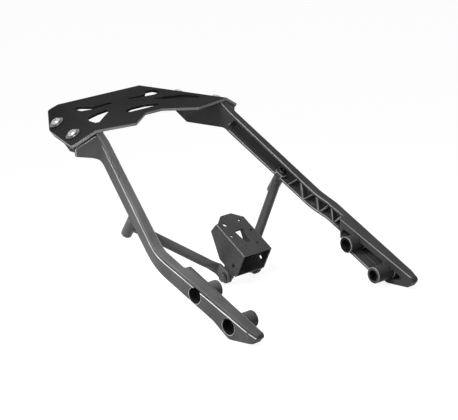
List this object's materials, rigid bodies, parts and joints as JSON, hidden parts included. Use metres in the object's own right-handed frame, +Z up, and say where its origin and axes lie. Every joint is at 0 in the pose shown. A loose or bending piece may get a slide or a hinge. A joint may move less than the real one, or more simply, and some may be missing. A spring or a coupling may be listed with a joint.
{
  "type": "motorbike top case bracket",
  "caption": "Motorbike rear rack for a top case: ribbed cast arms carry a folded plate at the rear, and tube struts hold a folded box bracket between them.",
  "frame": {"origin": "middle of the carrier plate's flat top face", "axes": "+X to the rider's right, +Y forward along the arms, +Z up, as mounted on the motorbike"},
  "size_m": [0.3492, 0.5589, 0.2285],
  "materials": {
    "cast_black": "satin black powder coat on a casting",
    "sheet_black": "matt black powder coat on sheet",
    "tube_black": "satin black powder coat on tube",
    "bolt_steel": "bright zinc-plated steel",
    "washer_steel": "bright zinc-plated steel",
    "hidden_steel": "black oxide steel"
  },
  "bodies": {
    "root": {"right_arm": "cast_black", "left_arm": "cast_black", "carrier_plate": "sheet_black", "box_bracket": "sheet_black", "right_strut": "tube_black", "left_strut": "tube_black", "plate_bolts": "bolt_steel", "plate_washers": "washer_steel", "strut_plugs": "hidden_steel", "strut_screws": "hidden_steel", "bracket_bolts": "hidden_steel", "bracket_nuts": "hidden_steel"}
  },
  "joints": []
}
